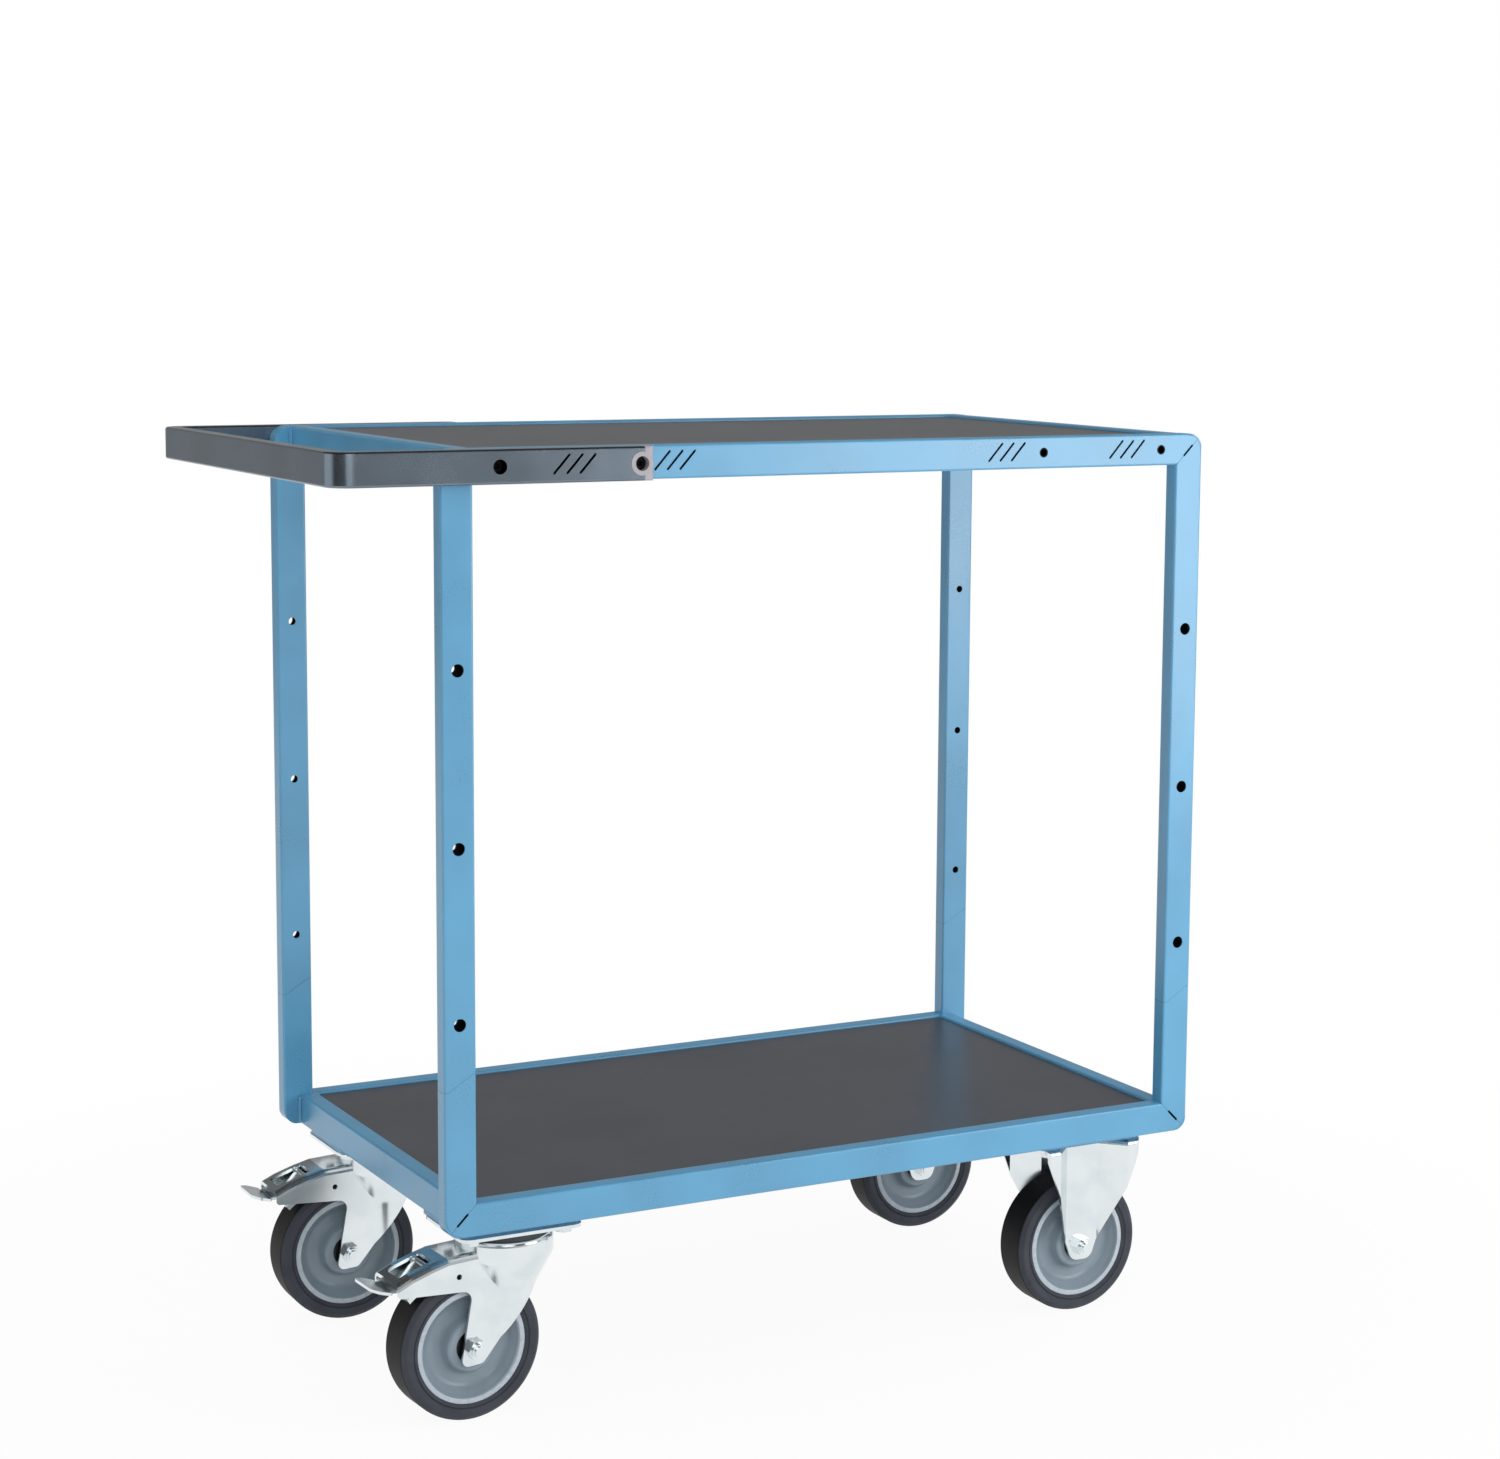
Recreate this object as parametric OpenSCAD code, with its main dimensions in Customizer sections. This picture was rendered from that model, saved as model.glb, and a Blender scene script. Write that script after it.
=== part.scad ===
// Two-shelf utility cart: welded tube frame, bolted push handle, four casters.
// X runs from the push handle to the front, Y from the near side to the far side, Z up.
// The origin is on the floor, below the middle of the cart's box.

/* [Side frames] */
// Length of a side frame
frame_len = 920; // [860:10:1000]
// Width over both side frames
frame_w = 510; // [470:10:600]
// Height of the top edge above the floor
frame_top = 1021; // [960:1:1100]
// Width of the rectangular tube in the plane of a side frame
tube_w = 35; // [32:1:38]
// Thickness of the tube across the cart
tube_t = 20; // [20:1:24]
// Wall of the tube
tube_wall = 2; // [1.5:0.25:2.5]
// Outer radius of the tube's long edges
tube_edge_r = 2.5; // [2:0.25:3]
// Radius of the folded frame corners
corner_r = 18; // [12:1:20]
// Height of the slanted leg seam above the bottom of the frame
seam_z = 154; // [120:1:180]
// Rise of the seam across a leg
seam_rise = 17; // [8:1:25]

/* [Holes in the frame] */
// Depth of the first leg hole below the top edge
leg_hole_drop = 221; // [200:1:240]
// Distance between leg holes
leg_hole_pitch = 181; // [160:1:190]
// Number of holes in a leg
leg_hole_n = 3; // [2:1:3]
// Diameter of the access hole in a leg's outer wall
access_d = 13.5; // [12:0.5:16]
// Diameter of the bolt hole in a leg's inner wall
leg_bolt_d = 8.5; // [6.5:0.5:10]
// Distance of the outer rail hole from the end of the frame
rail_hole_a = 56; // [50:1:70]
// Distance of the inner rail hole from the end of the frame
rail_hole_b = 212; // [190:1:220]
// Thread diameter of the rail nuts
rail_thread_d = 8; // [6:1:8]
// Length of one slash slot
slash_len = 27; // [20:1:30]
// Width of a slash slot
slash_w = 2.5; // [1.5:0.25:3]
// Distance between the slashes of a group
slash_pitch = 14.4; // [12:0.2:16]
// Slope of a slash in degrees
slash_angle = 48; // [40:1:60]

/* [Shelves] */
// Distance from a frame end to an end bar
bar_inset = 19.5; // [18:0.5:30]
// Thickness of a board
board_t = 12; // [9:1:14]
// Depth of a board's face below the top of the rails
board_drop = 3; // [1:0.5:4]
// Gap round a board
board_gap = 1; // [0.5:0.25:2]
// Width of the angle steel that carries a board
rest_w = 20; // [18:1:25]
// Thickness of that angle steel
rest_t = 2.5; // [2:0.5:3]

/* [Push handle] */
// Reach of the handle beyond the frame
handle_reach = 120; // [90:5:160]
// Outer radius of the handle's bends
handle_bend_r = 25; // [22:1:40]
// Distance of an arm's end from the frame end
arm_end = 215; // [214:0.5:217]
// Length of an end plug beyond the arm
plug_len = 12; // [8:1:16]
// Diameter of the plug's boss
boss_d = 24.6; // [22:0.2:26]
// Diameter of the access hole in the plug and in the arm
screw_access_d = 15; // [14:0.5:16]

/* [Casters] */
// Diameter of the wheels
wheel_d = 160; // [150:1:160]
// Width of the tyres
tyre_w = 48; // [44:1:49]
// Height of a caster from floor to plate
caster_h = 205; // [204:0.5:207]
// Thickness of the plates welded below the frame
mount_t = 10; // [6:1:12]
// Distance of the swivel axes from the frame end
swivel_x = 96; // [90:1:110]
// Distance of the fixed wheels from the handle end of the frame
fixed_x = 808; // [760:1:810]
// Distance of the wheel planes from the frame's outer faces
caster_y = 75; // [70:1:90]
// Distance of a swivel wheel's axle behind its kingpin
trail = 48; // [46:1:50]
// Distance between bolt holes along the cart
bolt_dx = 105; // [105:1:108]
// Distance between bolt holes across the cart
bolt_dy = 75; // [74:1:76]
// Thickness of the pressed steel
sheet_t = 3.5; // [3:0.25:3.5]
// Angle at which the near swivel caster stands
near_yaw = 3; // [-10:1:10]
// Angle at which the far swivel caster stands
far_yaw = -1; // [-10:1:10]
// Number of balls in a swivel race
ball_n = 24; // [12:1:30]

/* [Brake] */
// Distance of the pedal's pin behind the axle
pedal_pin_back = 47; // [46:0.5:48]
// Height of the pedal's pin
pedal_pin_z = 170.5; // [170:0.25:171]
// Length of the pedal's tip beyond the fork arm
pedal_tip = 27; // [20:1:30]
// Angle through which the pedal is pressed
pedal_press = 8; // [6:0.5:8]

/* [Hidden] */
$fn = 48;

frame_blue = "#7ab6dc";
handle_grey = "#555d64";
board_brown = "#4b4647";
plug_taupe = "#9c9294";
zinc = "#c3c9cc";
rubber = "#3d3e44";
rim_grey = "#8f999f";
bearing_black = "#26282b";

// Heights and places worked out from the driving dimensions
frame_bottom = caster_h + mount_t;
rail_mid = frame_top - tube_w / 2;
bottom_rail_top = frame_bottom + tube_w;
grip_x = -handle_reach;
axle_z = wheel_d / 2;
cut = 1;
slash_groups = [258.5, frame_len - 259.5, frame_len - 102];
slash_mid_drop = 16;
arm_slash_x = 137;

// Pressed steel of the casters
plate_l = 138;
plate_w = 110;
plate_r = 12;
cheek_out = 29.5;
cheek_in = cheek_out - sheet_t;
hex17 = 9.81;
hex19 = 10.97;
bolt_r = 4.9;
tapped_r = 5;
clear_r = 5.5;
head_h = 6.4;
washer_r = 10.4;
washer_t = 1;

// Swivel head, with heights below the caster's top
rim_r = 52.5;
rim_top_r = 5.5;
rim_z = caster_h - 11;
crown_z = caster_h - 22.7;
cup_z = caster_h - 15.1;
dish_r = 42;
flare_r = 47;
flare_t = 3.6;
ball_r = 3.5;
race_r = 38;
king_r = 6;
king_head_r = 11;
run_gap = 0.05;
loose_gap = 0.3;

// Pressed fork, as places along it from the axle and heights above the floor
arm_end_x = -86.5 - trail;
arm_top = [for (p = [[-106.5, 152.5], [-72, 168.6], [-49.5, 176], [-30, 181.1], [10, 183.2]])
    [p[0] - trail, p[1]]];
fold_r = 7;
window_x0 = -80 - trail;
window_x1 = -42 - trail;
window_half = 16;
cup_low_r = 34.6;
cup_bend_z = 139;
cup_wide_z = 172;
pedal_pin_x = -pedal_pin_back - trail;

// Turned parts of the wheels
rim_out_r = 61.7;
hub_r = 25.6;
hub_half = 22;
bearing_r = 17.5;
bearing_w = 11;
sleeve_r = 7.45;
collar_r = 10.5;
axle_r = 5.95;

// Points of an outline whose corners [x, y, r] are rounded with radius r
function unit(v) = v / norm(v);
function flat(p) = [p[0], p[1]];
function turn(s) = s > 180 ? s - 360 : s < -180 ? s + 360 : s;
function corner(a, b, c, r, n) =
    r <= 0 ? [b] :
    let (
        u = unit(a - b),
        v = unit(c - b),
        half = acos(max(-1, min(1, u * v))) / 2,
        centre = b + unit(u + v) * r / sin(half),
        p = b + u * r / tan(half) - centre,
        q = b + v * r / tan(half) - centre,
        start = atan2(p[1], p[0]),
        sweep = turn(atan2(q[1], q[0]) - start)
    )
    [for (i = [0:n]) centre + r * [cos(start + sweep * i / n), sin(start + sweep * i / n)]];
function outline(pts, n = 6) = [
    for (i = [0:len(pts) - 1])
        each corner(flat(pts[(i + len(pts) - 1) % len(pts)]), flat(pts[i]),
                    flat(pts[(i + 1) % len(pts)]), pts[i][2], n)
];
function box_outline(x0, y0, x1, y1, r, n = 5) =
    outline([[x0, y0, r], [x1, y0, r], [x1, y1, r], [x0, y1, r]], n);

// A closed outline, anticlockwise, moved inwards by d
function left_normal(a, b) = let (u = unit(b - a)) [-u[1], u[0]];
function moved(a, b, c, d) =
    let (m = left_normal(a, b), n = left_normal(b, c)) b + (m + n) * d / (1 + m * n);
function inset(pts, d) = [
    for (i = [0:len(pts) - 1])
        moved(pts[(i + len(pts) - 1) % len(pts)], pts[i], pts[(i + 1) % len(pts)], d)
];

// An outline in the plane of X and Z, pulled from y0 to y1
module plate_xz(pts, y0, y1) {
    translate([0, y1, 0]) rotate([90, 0, 0]) linear_extrude(y1 - y0) polygon(pts);
}

// A round bar along Y
module bar_y(x, z, r, y0, y1) {
    translate([x, y1, z]) rotate([90, 0, 0]) cylinder(r = r, h = y1 - y0);
}

// A hexagonal bar along Y
module hex_y(x, z, r, y0, y1) {
    translate([x, y1, z]) rotate([90, 0, 0]) cylinder(r = r, h = y1 - y0, $fn = 6);
}

// A slot with round ends that is pulled along Y
module slot_y(x, z, length, width, angle, y0, y1) {
    translate([x, y1, z]) rotate([90, 0, 0]) linear_extrude(y1 - y0) rotate(angle) {
        square([length - width, width], center = true);
        for (s = [-1, 1]) translate([s * (length - width) / 2, 0]) circle(d = width);
    }
}

module slash_group(x, y0, y1) {
    for (i = [-1:1])
        slot_y(x + i * slash_pitch, frame_top - slash_mid_drop, slash_len, slash_w,
               slash_angle, y0, y1);
}

// The cart is drawn from the near handle corner of the frame and moved to its origin
module in_place() {
    translate([-(frame_len - handle_reach) / 2, -frame_w / 2, 0]) children();
}

module far_side() {
    translate([0, frame_w, 0]) mirror([0, 1, 0]) children();
}

// Side frames
module leg_bar(x) {
    translate([x, 0, 0]) linear_extrude(frame_top + cut)
        polygon(box_outline(0, 0, tube_w, tube_t, tube_edge_r));
}

module rail_bar(z) {
    translate([0, 0, z]) rotate([90, 0, 90]) linear_extrude(frame_len)
        polygon(box_outline(0, 0, tube_t, tube_w, tube_edge_r));
}

// The four mitred bars of a side frame
module mitred_bars() {
    z0 = frame_bottom;
    z1 = frame_top;
    in_x = frame_len - tube_w;
    intersection() {
        leg_bar(0);
        plate_xz([[0, z0], [tube_w, z0 + tube_w], [tube_w, z1 - tube_w], [0, z1]], 0, tube_t);
    }
    intersection() {
        leg_bar(in_x);
        plate_xz([[frame_len, z0], [frame_len, z1], [in_x, z1 - tube_w], [in_x, z0 + tube_w]],
                 0, tube_t);
    }
    intersection() {
        rail_bar(z0);
        plate_xz([[0, z0], [frame_len, z0], [in_x, z0 + tube_w], [tube_w, z0 + tube_w]],
                 0, tube_t);
    }
    intersection() {
        rail_bar(z1 - tube_w);
        plate_xz([[0, z1], [tube_w, z1 - tube_w], [in_x, z1 - tube_w], [frame_len, z1]],
                 0, tube_t);
    }
}

module frame_cavity() {
    inner = tube_w - tube_wall;
    translate([0, tube_t - tube_wall, 0]) rotate([90, 0, 0])
        linear_extrude(tube_t - 2 * tube_wall) difference() {
            polygon(box_outline(tube_wall, frame_bottom + tube_wall, frame_len - tube_wall,
                                frame_top - tube_wall, corner_r - tube_wall));
            polygon(box_outline(inner, frame_bottom + inner, frame_len - inner,
                                frame_top - inner, tube_wall));
        }
}

// Slots on the mitres and holes in legs and rails, cut in from the outer face
module frame_cuts() {
    for (x = [tube_w / 2, frame_len - tube_w / 2], i = [0:leg_hole_n - 1]) {
        z = frame_top - leg_hole_drop - i * leg_hole_pitch;
        bar_y(x, z, access_d / 2, -cut, tube_t / 2);
        bar_y(x, z, leg_bolt_d / 2, tube_t / 2, tube_t + cut);
    }
    for (x = [rail_hole_a, rail_hole_b, frame_len - rail_hole_b, frame_len - rail_hole_a])
        bar_y(x, rail_mid, nut_body_r + run_gap, -cut, tube_t / 2);
    for (x = slash_groups) slash_group(x, -cut, tube_t / 2);
    for (sx = [-1, 1], sz = [-1, 1])
        slot_y(frame_len / 2 + sx * (frame_len / 2 - mitre_slot_in),
               (frame_top + frame_bottom) / 2
                   + sz * ((frame_top - frame_bottom) / 2 - mitre_slot_in),
               mitre_slot_len, slash_w, 45 * sx * sz, -cut, tube_t / 2);
}

module side_frame() {
    difference() {
        intersection() {
            mitred_bars();
            plate_xz(box_outline(0, frame_bottom, frame_len, frame_top, corner_r, 8),
                     0, tube_t);
        }
        frame_cavity();
        frame_cuts();
    }
}

// The seam crosses each leg on a slant with a short level stretch at both edges
function seam_line(x) = let (z = frame_bottom + seam_z) [
    [x, z], [x + seam_flat, z], [x + tube_w - seam_flat, z + seam_rise],
    [x + tube_w, z + seam_rise]
];

module above_seam() {
    plate_xz(concat([[-cut, frame_bottom + seam_z]], seam_line(0),
                    seam_line(frame_len - tube_w),
                    [[frame_len + cut, frame_bottom + seam_z + seam_rise],
                     [frame_len + cut, frame_top + cut], [-cut, frame_top + cut]]),
             -cut, tube_t + cut);
}

module side_frame_upper() {
    color(frame_blue) intersection() {
        side_frame();
        above_seam();
    }
}

module side_frame_lower() {
    color(frame_blue) difference() {
        side_frame();
        above_seam();
    }
}

mitre_slot_in = 19;
mitre_slot_len = 17.6;
seam_flat = 4;
bead_r = 3;

// End bars with their weld beads
module end_bar(x, z) {
    color(frame_blue) difference() {
        union() {
            plate_xz(box_outline(x, z, x + tube_t, z + tube_w, tube_edge_r),
                     tube_t, frame_w - tube_t);
            for (bx = [x, x + tube_t], y = [tube_t, frame_w - tube_t])
                translate([bx, y, z + tube_edge_r])
                    cylinder(r = bead_r, h = tube_w - 2 * tube_edge_r, $fn = 24);
        }
        plate_xz(box_outline(x + tube_wall, z + tube_wall, x + tube_t - tube_wall,
                             z + tube_w - tube_wall, 1),
                 tube_t - cut, frame_w - tube_t + cut);
        for (y = [tube_t - 2 * bead_r, frame_w - tube_t])
            translate([x - 2 * bead_r, y, z - cut])
                cube([tube_t + 4 * bead_r, 2 * bead_r, tube_w + 2 * cut]);
    }
}

front_bar_x = frame_len - bar_inset - tube_t;

// Boards, the angles that carry them and their screws
board_x0 = bar_inset + tube_t + board_gap;
board_x1 = frame_len - board_x0;
screw_inset = tube_t + rest_w / 2 + 2;
screw_n = 4;
screw_r = 2.5;
screw_len = 9;
screw_first = 60;
board_corner_r = 6;
function screw_x(i) =
    board_x0 + screw_first + i * (board_x1 - board_x0 - 2 * screw_first) / (screw_n - 1);

module board(rail_top) {
    z1 = rail_top - board_drop;
    color(board_brown) difference() {
        translate([0, 0, z1 - board_t]) linear_extrude(board_t)
            polygon(box_outline(board_x0, tube_t + board_gap, board_x1,
                                frame_w - tube_t - board_gap, board_corner_r));
        for (i = [0:screw_n - 1], y = [screw_inset, frame_w - screw_inset])
            translate([screw_x(i), y, z1 - board_t - cut])
                cylinder(r = screw_r + run_gap, h = screw_len - rest_t + cut + 0.5);
    }
}

module rest_rail(rail_top) {
    z1 = rail_top - board_drop - board_t;
    x0 = bar_inset + tube_t + bead_r + loose_gap;
    color(frame_blue) difference() {
        translate([x0, 0, 0]) rotate([90, 0, 90]) linear_extrude(frame_len - 2 * x0)
            polygon([[tube_t, z1 - rest_w], [tube_t + rest_t, z1 - rest_w],
                     [tube_t + rest_t, z1 - rest_t], [tube_t + rest_w, z1 - rest_t],
                     [tube_t + rest_w, z1], [tube_t, z1]]);
        for (i = [0:screw_n - 1])
            translate([screw_x(i), screw_inset, z1 - rest_t - cut])
                cylinder(r = screw_r + run_gap, h = rest_t + 2 * cut);
    }
}

module cross_member(rail_top) {
    z1 = rail_top - board_drop - board_t;
    x0 = frame_len / 2 - 15;
    x1 = frame_len / 2 + 15;
    wall = 1.5;
    color(frame_blue) difference() {
        plate_xz(box_outline(x0, z1 - rest_w, x1, z1, 2),
                 tube_t + rest_w, frame_w - tube_t - rest_w);
        plate_xz(box_outline(x0 + wall, z1 - rest_w + wall, x1 - wall, z1 - wall, 0.5),
                 tube_t, frame_w - tube_t);
    }
}

module board_screws() {
    head = 2.5;
    color(zinc)
        for (top = [frame_top, bottom_rail_top], i = [0:screw_n - 1],
             y = [screw_inset, frame_w - screw_inset])
            translate([screw_x(i), y, top - board_drop - board_t - rest_t]) {
                cylinder(r = screw_r, h = screw_len);
                translate([0, 0, -head]) cylinder(r1 = 3.6, r2 = 4.6, h = head);
            }
}

// Push handle, bent from the same tube and bolted to the outside of the rails
module handle_run(d, ends) {
    z0 = frame_top - tube_w + d;
    z1 = frame_top - d;
    r = max(tube_edge_r - d, 0.5);
    bend_x = grip_x + handle_bend_r;
    in_r = handle_bend_r - tube_t;
    section = box_outline(d, z0, tube_t - d, z1, r);
    for (y = [-tube_t, frame_w])
        translate([bend_x, y, 0]) rotate([90, 0, 90])
            linear_extrude(arm_end - bend_x + ends) polygon(section);
    plate_xz(box_outline(grip_x + d, z0, grip_x + tube_t - d, z1, r),
             handle_bend_r - tube_t, frame_w + tube_t - handle_bend_r);
    translate([bend_x, in_r, 0]) rotate(180) rotate_extrude(angle = 90)
        translate([in_r, 0]) polygon(section);
    translate([bend_x, frame_w - in_r, 0]) rotate(90) rotate_extrude(angle = 90)
        translate([in_r, 0]) polygon(section);
}

module arm_cuts() {
    bar_y(rail_hole_a, rail_mid, screw_access_d / 2, -tube_t - cut, -tube_t / 2);
    bar_y(rail_hole_b, rail_mid, boss_d / 2 + loose_gap, -tube_t - cut, -tube_t / 2);
    for (x = [rail_hole_a, rail_hole_b])
        bar_y(x, rail_mid, screw_shaft_r + loose_gap, -tube_t / 2, cut);
    slash_group(arm_slash_x, -tube_t - cut, -tube_t / 2);
}

module push_handle() {
    color(handle_grey) difference() {
        handle_run(0, 0);
        handle_run(tube_wall, cut);
        arm_cuts();
        far_side() arm_cuts();
    }
}

// Moulded plug that closes an arm, with a boss round its screw
module handle_plug() {
    z0 = frame_top - tube_w;
    play = 0.2;
    fit = tube_wall + play;
    insert_x = rail_hole_b - boss_d / 2 - 6;
    cap_x = arm_end + plug_len;
    color(plug_taupe) difference() {
        union() {
            translate([insert_x, -tube_t + fit, z0 + fit])
                cube([arm_end - insert_x + play, tube_t - 2 * fit, tube_w - 2 * fit]);
            bar_y(rail_hole_b, rail_mid, boss_d / 2, -tube_t, -tube_t / 2);
            intersection() {
                translate([0, 0, z0]) linear_extrude(tube_w)
                    polygon(outline([[arm_end, -tube_t, 0], [cap_x, -tube_t, 9],
                                     [cap_x, 0, 1], [arm_end, 0, 0]], 8));
                translate([arm_end - cut, -tube_t, 0]) rotate([90, 0, 90])
                    linear_extrude(plug_len + 2 * cut)
                    polygon(box_outline(0, z0, tube_t, frame_top, tube_edge_r));
            }
        }
        bar_y(rail_hole_b, rail_mid, screw_access_d / 2, -tube_t - cut, -plug_seat);
        bar_y(rail_hole_b, rail_mid, screw_shaft_r + loose_gap, -tube_t, cut);
    }
}

screw_shaft_r = rail_thread_d / 2 - run_gap;
screw_head_r = 6.4;
plug_seat = 5;
nut_body_r = 5.4;
nut_depth = 16;

// A socket screw along +Y whose head rests at y
module socket_screw(x, y) {
    difference() {
        union() {
            bar_y(x, rail_mid, screw_head_r, y - rail_thread_d, y);
            bar_y(x, rail_mid, screw_shaft_r, y, nut_depth - 2);
        }
        hex_y(x, rail_mid, 3.4, y - rail_thread_d - cut, y - 4);
    }
}

module handle_screws_side() {
    socket_screw(rail_hole_a, -tube_wall);
    socket_screw(rail_hole_b, -plug_seat);
}

module handle_screws() {
    color(zinc) {
        handle_screws_side();
        far_side() handle_screws_side();
    }
}

// Blind nuts set flush in the outer walls of the top rails
module rail_nuts_side() {
    for (x = [rail_hole_a, rail_hole_b, frame_len - rail_hole_b, frame_len - rail_hole_a])
        difference() {
            union() {
                bar_y(x, rail_mid, nut_body_r, 0, nut_depth);
                bar_y(x, rail_mid, nut_body_r + 1.8, tube_wall + run_gap, tube_wall + 3);
            }
            bar_y(x, rail_mid, rail_thread_d / 2, -cut, nut_depth + cut);
        }
}

module rail_nuts() {
    color(zinc) {
        rail_nuts_side();
        far_side() rail_nuts_side();
    }
}

// Plates welded below the frame corners, tapped for the casters
function bolt_places() = [
    for (sx = [-1, 1], sy = [-1, 1]) [sx * bolt_dx / 2, sy * bolt_dy / 2]
];

// A plate beside the rail, from mount_y to past the caster, with a foot towards the end bar
module mount_plate(x, foot_x) {
    far_y = caster_y + plate_w / 2 + 5;
    color(frame_blue) difference() {
        translate([0, 0, caster_h]) linear_extrude(mount_t) {
            polygon(box_outline(x - mount_reach, mount_y, x + mount_reach, far_y, 6));
            polygon(box_outline(x, caster_y, foot_x, far_y, 6));
        }
        for (p = bolt_places())
            translate([x + p[0], caster_y + p[1], caster_h - cut])
                cylinder(r = tapped_r, h = mount_t + 2 * cut);
    }
}

mount_y = 27;
mount_reach = 68;

module caster_bolts() {
    color(zinc)
        for (x = [swivel_x, fixed_x], y = [caster_y, frame_w - caster_y], p = bolt_places())
            translate([x + p[0], y + p[1], caster_h - sheet_t]) {
                cylinder(r = bolt_r, h = sheet_t + mount_t - 1);
                translate([0, 0, -head_h]) cylinder(r = hex17, h = head_h, $fn = 6);
                translate([0, 0, -washer_t]) cylinder(r = washer_r, h = washer_t);
            }
}

// Swivel caster, in its own frame with the kingpin on Z
module swivel_plate() {
    z0 = caster_h - sheet_t;
    color(zinc) difference() {
        union() {
            difference() {
                translate([0, 0, z0]) linear_extrude(sheet_t)
                    polygon(box_outline(-plate_l / 2, -plate_w / 2, plate_l / 2, plate_w / 2,
                                        plate_r));
                translate([0, 0, z0 - cut])
                    cylinder(r = flare_r - sheet_t, h = sheet_t + 2 * cut);
            }
            rotate_extrude($fn = 96)
                polygon([[king_r + 0.02, cup_z], [dish_r, cup_z], [dish_r + 2, cup_z + 2],
                         [flare_r, z0], [flare_r, caster_h], [flare_r - flare_t, caster_h],
                         [dish_r - 1.4, cup_z + sheet_t], [king_r + 0.02, cup_z + sheet_t]]);
        }
        for (p = bolt_places())
            translate([p[0], p[1], z0 - cut]) cylinder(r = clear_r, h = sheet_t + 2 * cut);
    }
}

// Kingpin with a collar below the fork's boss and a riveted head in the plate's dish
module kingpin() {
    low = crown_z - 14.3;
    head = cup_z + sheet_t;
    rotate_extrude()
        polygon([[0, low], [king_r - 1, low], [king_r, low + 1], [king_r, low + 1.5],
                 [10, low + 1.5], [10, low + 6], [king_r, low + 6], [king_r, head],
                 [king_head_r, head], [king_head_r, head + 2], [9, head + 4.5],
                 [0, head + 4.5]]);
}

// Black ring between the plate and the fork's rim, which closes the ball race
module dust_seal() {
    z0 = cup_z + 2.1;
    z1 = caster_h - sheet_t;
    rotate_extrude($fn = 96)
        polygon([[flare_r - 2.8, z0], [rim_r - sheet_t - 0.8, z0], [rim_r - sheet_t - 0.8, z1],
                 [flare_r + 0.1, z1]]);
}

module ball_ring() {
    for (i = [0:ball_n - 1])
        rotate(360 * i / ball_n) translate([race_r, 0, (cup_z + crown_z) / 2])
            sphere(r = ball_r, $fn = 16);
}

// The line of the arm's top, lowered by d square to itself
function path_normal(pts, i) =
    let (
        m = left_normal(pts[max(i - 1, 0)], pts[max(i, 1)]),
        n = left_normal(pts[min(i, len(pts) - 2)], pts[min(i + 1, len(pts) - 1)])
    )
    (m + n) / (1 + m * n);
function lowered(pts, d) = [for (i = [0:len(pts) - 1]) pts[i] - path_normal(pts, i) * d];

// A channel's solid under the line of the arm's top, as what the bars of all its stretches
// share, behind the kingpin and below top
module arm_bar(d, half, r, top) {
    path = lowered(arm_top, d);
    deep = 130;
    long = 160;
    intersection() {
        translate([-long, -rim_r, 40]) cube([long, 2 * rim_r, top - 40]);
        intersection_for(i = [0:len(path) - 2]) {
            run = path[i + 1] - path[i];
            translate([path[i][0], 0, path[i][1]]) rotate([0, -atan2(run[1], run[0]), 0])
                translate([-long, 0, 0]) rotate([90, 0, 90]) linear_extrude(2 * long)
                polygon(outline([[-half, -deep, 0], [half, -deep, 0], [half, 0, r],
                                 [-half, 0, r]], 4));
        }
    }
}

// Outline of the fork seen from the side, open upwards
fork_side = outline([for (p = [
    [-15.8, axle_z - 19, 7], [9.3, axle_z - 17, 8], [104, 176.4, 0], [104, rim_z + 30, 0],
    [-86.5, rim_z + 30, 0], [-86.5, 147.7, 4], [-1.8, 142.6, 10]
]) [p[0] - trail, p[1], p[2]]], 6);

// The cup below the swivel head, which widens from the cheeks to the rim
module fork_cup() {
    rotate_extrude($fn = 96)
        polygon(outline([[0, 55, 0], [cup_low_r, 55, 0], [cup_low_r, cup_bend_z, 20],
                         [rim_r, cup_wide_z, 12], [rim_r, rim_z, rim_top_r], [0, rim_z, 0]], 5));
}

module fork_hollow() {
    low_r = cup_low_r - sheet_t;
    top = crown_z - sheet_t;
    rotate_extrude($fn = 96)
        polygon(outline([[0, 50, 0], [low_r, 50, 0], [low_r, cup_bend_z + 1, 20],
                         [rim_r - sheet_t, cup_wide_z + 1, 8.5], [rim_r - sheet_t, top, 3],
                         [0, top, 0]], 5));
    arm_bar(sheet_t, cheek_in, fold_r - sheet_t, top);
    translate([0, 0, crown_z]) cylinder(r = rim_r - sheet_t, h = 20, $fn = 96);
}

module fork_skin() {
    difference() {
        union() {
            arm_bar(0, cheek_out, fold_r, rim_z);
            fork_cup();
        }
        fork_hollow();
    }
}

// Ears that hold the pedal's pin beside the window
module pedal_ears() {
    x = pedal_pin_x;
    for (s = [-1, 1])
        plate_xz([[x - 4.5, pedal_pin_z - 4.5], [x + 4.5, pedal_pin_z - 4.5],
                  [x + 10, 174.5], [x + 10, 177.5], [x + 4, 176.3], [x - 4.5, 173.3]],
                 s * ear_y - 1.5, s * ear_y + 1.5);
}

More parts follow.
